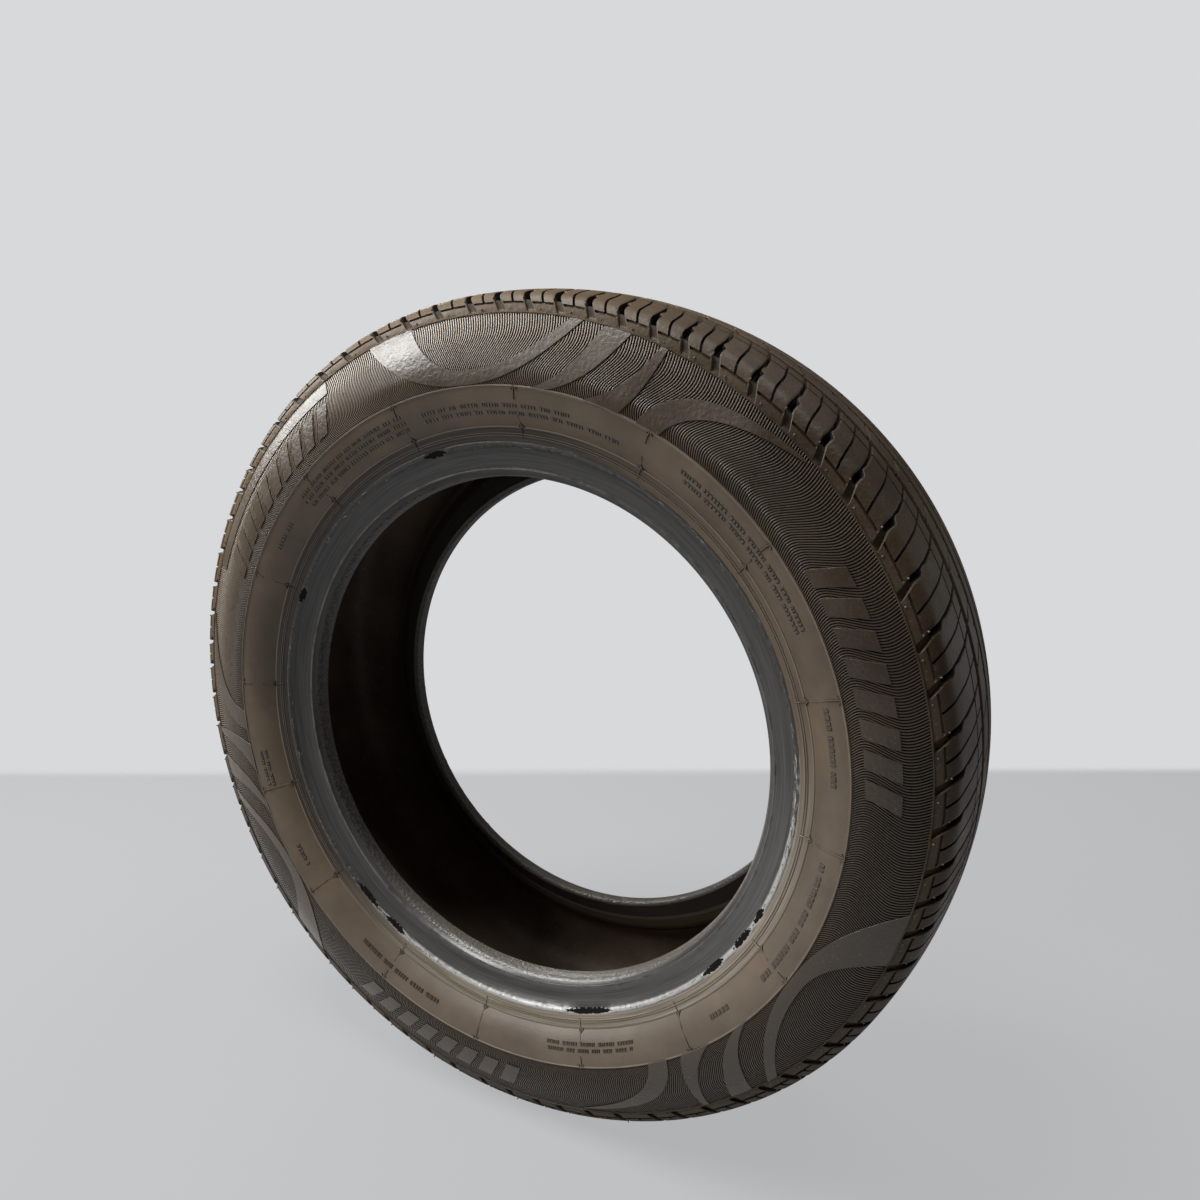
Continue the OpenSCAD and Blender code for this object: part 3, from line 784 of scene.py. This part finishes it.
def raised_strip(first, second, height, across=5, sunk=1.0, bevel=0.12, slope=0.4, foot=0.1):
    """Points and faces of a raised strip between two lines of (angle, r) with as many points. Its
    sides slope out down to a foot below the surface, and take the second material, which is a dark
    painted shade."""
    first, second = np.array(first, float), np.array(second, float)
    width = np.maximum(np.linalg.norm((second - first) * [MM_PER_DEGREE, 1], axis=1), 0.05)
    shares = np.linspace(0, 1, across)
    lift = np.concatenate([[-sunk, -foot, height - bevel], np.full(across, height),
                           [height - bevel, -foot, -sunk]])
    loops = []
    for k in range(len(first)):
        inset = min(bevel / width[k], 0.4)
        out = slope / max(width[k], 0.6)
        share = np.concatenate([[-out, -out, 0], inset + shares * (1 - 2 * inset),
                                [1, 1 + out, 1 + out]])
        line = first[k] + share[:, None] * (second[k] - first[k])
        loops.append(np.column_stack([line, lift]))
    grid = np.array(loops)
    rows, columns = grid.shape[:2]
    faces, choice = [], []
    for i in range(rows - 1):
        for j in range(columns):
            on = (j + 1) % columns
            faces.append((i * columns + j, (i + 1) * columns + j, (i + 1) * columns + on,
                          i * columns + on))
            choice.append(0 if 2 <= j < columns - 3 else 1)
    faces.append(tuple(range(columns)))
    faces.append(tuple((rows - 1) * columns + j for j in reversed(range(columns))))
    return grid.reshape(-1, 3), faces, choice + [1, 1]


def strips_piece(name, strips, side, material, sharp=32):
    """One piece from raised strips that lie on the sidewall of one side"""
    points, faces, choices = [], [], []
    for grid, quads, choice in strips:
        base = len(points)
        placed = place(grid[:, 0], grid[:, 1], surface_w(grid[:, 1]) + grid[:, 2], side)
        quads = turned_out(placed, quads)
        points += placed.tolist()
        faces += [tuple(base + v for v in quad) for quad in quads]
        choices += choice
    return make_piece(name, points, faces, [material, VALLEY_SHADE_RUBBER], sharp, choices)


def turned_out(points, faces):
    """The faces of a closed strip, turned round if they look inwards"""
    middle = points.mean(0)
    total = 0.0
    for face in faces:
        corners = points[list(face)] - middle
        for i in range(1, len(corners) - 1):
            total += np.dot(corners[0], np.cross(corners[i], corners[i + 1]))
    return faces if total > 0 else [tuple(reversed(face)) for face in faces]


# The edges of the four bands of a group, each of one or two curves. A curve leaves its first point
# towards its second and arrives at its third. A point is its angle and its share of the way from
# the middle ring to the upper ring. The group is there three times round the tyre.
LOW, HIGH = -0.01, 1.01
BANDS = [
    ([[(45, 0.95), (62, 1.01), (64.8, LOW)]],
     [[(44.6, 0.93), (58.8, 0.74), (61, LOW)]]),
    ([[(65.2, HIGH), (65, 0.4), (67.8, LOW)]],
     [[(66.1, HIGH), (67.2, 0.3), (73.8, LOW)]]),
    ([[(70.1, HIGH), (73, 0.2), (80, LOW)]],
     [[(73.7, HIGH), (76.1, 0.2), (82.5, LOW)]]),
    ([[(76.5, HIGH), (83.4, 0.07), (93.5, 0.02)], [(93.5, 0.02), (104.2, 0.1), (109.5, HIGH)]],
     [[(78.2, HIGH), (84.3, 0.28), (92.5, 0.22)], [(92.5, 0.22), (99, 0.22), (102, HIGH)]]),
]
BAND_STEPS = 24
GROUP_TURNS = (0, 120, 240)


def on_field(angle, share):
    """A point of the field between the two rings, seen along the axis"""
    r = MIDDLE_RING_R + share * (UPPER_RING_R - MIDDLE_RING_R)
    return r * math.cos(angle / DEG), r * math.sin(angle / DEG)


def band_edge(curves):
    """Points (angle, r) along the curves of one edge of a band"""
    points = []
    for curve in curves:
        line = bend(*(on_field(*point) for point in curve), BAND_STEPS)
        points += line[1 if points else 0:].tolist()
    x, z = np.array(points).T
    return np.column_stack([np.arctan2(z, x) * DEG, np.hypot(x, z)])


def bands(side):
    strips = []
    for turn in GROUP_TURNS:
        for first, second in BANDS:
            a = band_edge(first) + [turn, 0]
            b = band_edge(second) + [turn, 0]
            strips.append(raised_strip(a, b, BAND_H, across=7, foot=RIB_DEPTH))
    return strips_piece("bands_" + side, strips, side, BAND_RUBBER)


# Fields of plain slanted bars: first angle, last angle, outer r, inner r, how many
BAR_FIELDS = [(2, 34, 254, 235.5, 8), (119, 154, 254, 236.5, 10), (-121, -86, 257, 239, 8)]
BAR_LEAN = 2.1


def bars(side):
    """Plain slanted bars, and the smooth panel beside the second field of them"""
    strips = []
    for first, last, outer, inner, count in BAR_FIELDS:
        pitch = (last - first) / count
        lean = BAR_LEAN * (outer - inner) / 18.5
        for k in range(count):
            a = first + k * pitch
            b = a + 0.64 * pitch
            left = [(a + lean * t, outer + (inner - outer) * t) for t in np.linspace(0, 1, 7)]
            right = [(b + lean * t, outer + (inner - outer) * t) for t in np.linspace(0, 1, 7)]
            strips.append(raised_strip(left, right, BAND_H, across=4, foot=RIB_DEPTH))
    panel = np.linspace(118.5, 156, 60)
    outer = [(a, 267.4) for a in panel]
    inner = [(a, 258.8) for a in panel]
    strips.append(raised_strip(outer, inner, BAND_H, across=5, foot=RIB_DEPTH))
    return strips_piece("bars_" + side, strips, side, BAND_RUBBER)


# Rows of small dashes on the lower sidewall: first angle, last angle, r of each row, dash height
DASH_ROWS = [(27, 56, (220.0, 216.0), 2.0), (75, 103, (217.8,), 1.7), (66.5, 103, (213.7,), 1.7),
             (106, 134, (221.0, 217.0, 213.0), 1.7), (139, 146, (218,), 2.2),
             (-171, -163, (221, 217.5), 1.7), (-150, -145, (218,), 2.6), (-126, -105, (217.5,), 2.6),
             (-80, -61, (218.0, 214.3), 1.7), (-44, -39, (216.3,), 2.4), (-31, -7, (217.5,), 2.8),
             (4, 17, (218.5,), 2.8)]


def dashes(side):
    """Rows of small plain dashes, of uneven lengths, with gaps between groups"""
    rng = np.random.default_rng(7)
    strips = []
    for first, last, rows, height in DASH_ROWS:
        for r in rows:
            angle = first + rng.uniform(0, 1)
            while angle < last:
                for _ in range(rng.integers(3, 8)):
                    length = rng.choice([0.16, 0.3, 0.42]) * height / 1.7
                    if angle + length > last:
                        break
                    left = [(angle, r + height / 2), (angle, r - height / 2)]
                    right = [(angle + length, r + height / 2), (angle + length, r - height / 2)]
                    strips.append(raised_strip(left, right, 0.5, across=2, bevel=0.08))
                    angle += length + 0.13 * height
                angle += 0.6
    return strips_piece("dashes_" + side, strips, side, BAND_RUBBER)


VENT_LINES = 16
FIRST_VENT_LINE = 17.3
LONG_VENT_LINES = (0, 8, 9, 11, 13, 15)
VENT_LINE_HALF_W = 0.1


def vent_line(points, height):
    """A thin raised line through points (angle, r)"""
    left = [(v - VENT_LINE_HALF_W, r) for v, r in points]
    right = [(v + VENT_LINE_HALF_W, r) for v, r in points]
    return raised_strip(left, right, height, across=2, bevel=0.08)


def vent_lines(side):
    """Thin raised lines that cross the lower sidewall, some of them broken in the middle, with a
    small arrow at each ring"""
    strips = []
    for k in range(VENT_LINES):
        a = FIRST_VENT_LINE + 360 / VENT_LINES * k
        upper = [(a, 228.0), (a + 0.1, 225.0), (a + 0.12, 221.5)]
        lower = [(a + 0.02, 213.5), (a - 0.05, STEP_R + 0.8), (a - 0.06, STEP_R - 0.2)]
        lower.append((a - 0.1, STEP_R - 6.5))
        if k in LONG_VENT_LINES:
            strips.append(vent_line(upper + lower, 0.5))
        else:
            strips.append(vent_line(upper, 0.5))
            strips.append(vent_line(lower, 0.5))
        for top in (MIDDLE_RING_R + 0.6, STEP_R + 2.0):
            for lean in (-0.5, 0.5):
                strips.append(vent_line([(a, top), (a + lean, top - 2.4)], 0.65))
    return strips_piece("vent_lines_" + side, strips, side, BEAD_RUBBER)


# Vent hairs: length along the shoulder's outline, turn from the pitch's start, and height
HAIRS = [(8.0, 7.4, 1.3), (1.6, -5.6, 1.1)]


def vent_hairs(side):
    """The stubs and hairs that the mould's vents left at each pitch"""
    rng = np.random.default_rng(9)
    points, faces = [], []
    for start in pitch_starts(side)[:-1]:
        for s, turn, height in HAIRS:
            r, w = SHOULDER.at(s)
            angle = start + (turn + rng.uniform(-0.3, 0.3)) * DEG / r
            tall = height * rng.choice([0.35, 0.6, 1.0], p=[0.4, 0.35, 0.25])
            hair(points, faces, angle, s, tall, rng.uniform(-0.8, 0.8, 2), side)
    return make_piece("vent_hairs_" + side, points, faces, HAIR_RUBBER, 60)


def hair(points, faces, angle, s, tall, bow, side):
    """Adds one tapered, bent hair, sunk a little into the rubber"""
    base = len(points)
    sides = 6
    levels = [(-0.6, 0.62), (0.25, 0.6), (0.55 * tall, 0.36), (tall, 0.28)]
    for height, radius in levels:
        bent = np.array(bow) * (max(height, 0) / 2) ** 2
        for k in range(sides):
            turn = 2 * math.pi * k / sides
            along = s + radius * math.sin(turn) + bent[0]
            r, w = SHOULDER.at(along, -height)
            a = angle + (radius * math.cos(turn) + bent[1]) * DEG / r
            points.append(place(np.float64(a), r, w, side).tolist())
    for level in range(len(levels) - 1):
        for k in range(sides):
            on = (k + 1) % sides
            low, high = base + level * sides, base + (level + 1) * sides
            faces.append((low + k, low + on, high + on, high + k))
    faces.append(tuple(base + k for k in reversed(range(sides))))
    faces.append(tuple(base + (len(levels) - 1) * sides + k for k in range(sides)))


# Stage, light and camera

FLOOR_SIZE = 14.0
FLOOR_END = 0.66
FLOOR_FADE = 0.05
FLOOR_EVEN = 0.85


def stage():
    """A pale floor that fades out behind the tyre, and a pale background"""
    turn = math.radians(CAMERA_AZIMUTH)
    middle = FLOOR_END - FLOOR_SIZE / 2
    at = (-math.sin(turn) * middle, math.cos(turn) * middle, FLOOR_Z)
    bpy.ops.mesh.primitive_plane_add(size=FLOOR_SIZE, location=at, rotation=(0, 0, turn))
    floor = bpy.context.object
    floor.name = "floor"
    g = Graph("floor")
    g.set(g.shader, {"Base Color": shade((196, 196, 198)), "Roughness": 0.9,
                     "Specular IOR Level": 0.1})
    where = g.node("ShaderNodeTexCoord").outputs["Object"]
    back = g.node("ShaderNodeSeparateXYZ", {"Vector": where}).outputs["Y"]
    edge = FLOOR_SIZE / 2
    g.set(g.shader, {"Alpha": g.between(back, edge, edge - FLOOR_FADE)})
    seen = g.node("ShaderNodeEmission", {"Color": shade((190, 191, 193)), "Strength": 1.0})
    share = g.maths("MULTIPLY", g.node("ShaderNodeLightPath").outputs["Is Camera Ray"], FLOOR_EVEN)
    share = g.maths("MULTIPLY", share, g.between(back, edge, edge - FLOOR_FADE))
    even = g.node("ShaderNodeMixShader", {0: share, 1: g.shader.outputs[0], 2: seen.outputs[0]})
    g.set(g.tree.nodes["Material Output"], {"Surface": even.outputs[0]})
    floor.data.materials.append(g.material)
    world = bpy.data.worlds.new("pale_room")
    world.use_nodes = True
    bpy.context.scene.world = world
    tree = world.node_tree
    background = tree.nodes["Background"]
    background.inputs["Color"].default_value = shade((228, 219, 206))
    background.inputs["Strength"].default_value = 0.06
    seen = tree.nodes.new("ShaderNodeBackground")
    seen.inputs["Color"].default_value = shade((216, 217, 219))
    seen.inputs["Strength"].default_value = 1.0
    rays = tree.nodes.new("ShaderNodeLightPath")
    either = tree.nodes.new("ShaderNodeMixShader")
    tree.links.new(rays.outputs["Is Camera Ray"], either.inputs[0])
    tree.links.new(background.outputs[0], either.inputs[1])
    tree.links.new(seen.outputs[0], either.inputs[2])
    tree.links.new(either.outputs[0], tree.nodes["World Output"].inputs[0])


def soft_light(name, place_at, size, power, aim=(0, 0, 0)):
    lamp = bpy.data.lights.new(name, "AREA")
    lamp.shape = "DISK"
    lamp.size = size
    lamp.energy = power
    thing = bpy.data.objects.new(name, lamp)
    bpy.context.scene.collection.objects.link(thing)
    back = np.array(place_at, float) - np.array(aim, float)
    thing.matrix_world = looking(place_at, back)


def looking(position, back):
    """A matrix that stands at a position and looks away from the way that back points"""
    back = np.array(back, float) / np.linalg.norm(back)
    right = np.cross((0, 0, 1), back)
    right /= np.linalg.norm(right)
    up = np.cross(back, right)
    matrix = Matrix.Identity(4)
    for i in range(3):
        matrix[i][0], matrix[i][1], matrix[i][2], matrix[i][3] = right[i], up[i], back[i], position[i]
    return matrix


def lights():
    soft_light("key", (-0.98, -0.76, 0.95), 0.6, 15)
    soft_light("side", (-1.3, -0.3, 0.75), 0.6, 9)
    soft_light("top", (-0.35, -0.4, 1.6), 0.7, 22)
    soft_light("back", (-1.2, 0.9, 0.8), 0.7, 7)
    soft_light("right", (1.3, 1.7, 0.15), 1.2, 1.5)
    soft_light("upper_right", (0.5, 0.4, 1.5), 0.9, 6)


CAMERA_AT = (0.2984, -0.5447, 0.1952)
CAMERA_AZIMUTH = 28.67
CAMERA_ELEVATION = 16.58
CAMERA_LENS = 26.085
CAMERA_SHIFT = (0.0325, 0.0866)


def camera():
    data = bpy.data.cameras.new("camera")
    data.sensor_width = 36
    data.lens = CAMERA_LENS
    data.shift_x, data.shift_y = CAMERA_SHIFT
    data.clip_start = 0.01
    thing = bpy.data.objects.new("camera", data)
    bpy.context.scene.collection.objects.link(thing)
    turn, rise = math.radians(CAMERA_AZIMUTH), math.radians(CAMERA_ELEVATION)
    back = (math.sin(turn) * math.cos(rise), -math.cos(turn) * math.cos(rise), math.sin(rise))
    thing.matrix_world = looking(CAMERA_AT, back)
    bpy.context.scene.camera = thing


camera()
lights()
stage()
carcass()
centre_rib()
for side in ("near", "far"):
    shoulder(side)
    rib(side)
    ribbed_field(side)
    sidewall_foot(side)
    bands(side)
    bars(side)
    dashes(side)
    vent_lines(side)
    vent_hairs(side)

bpy.context.scene.view_settings.view_transform = "Standard"
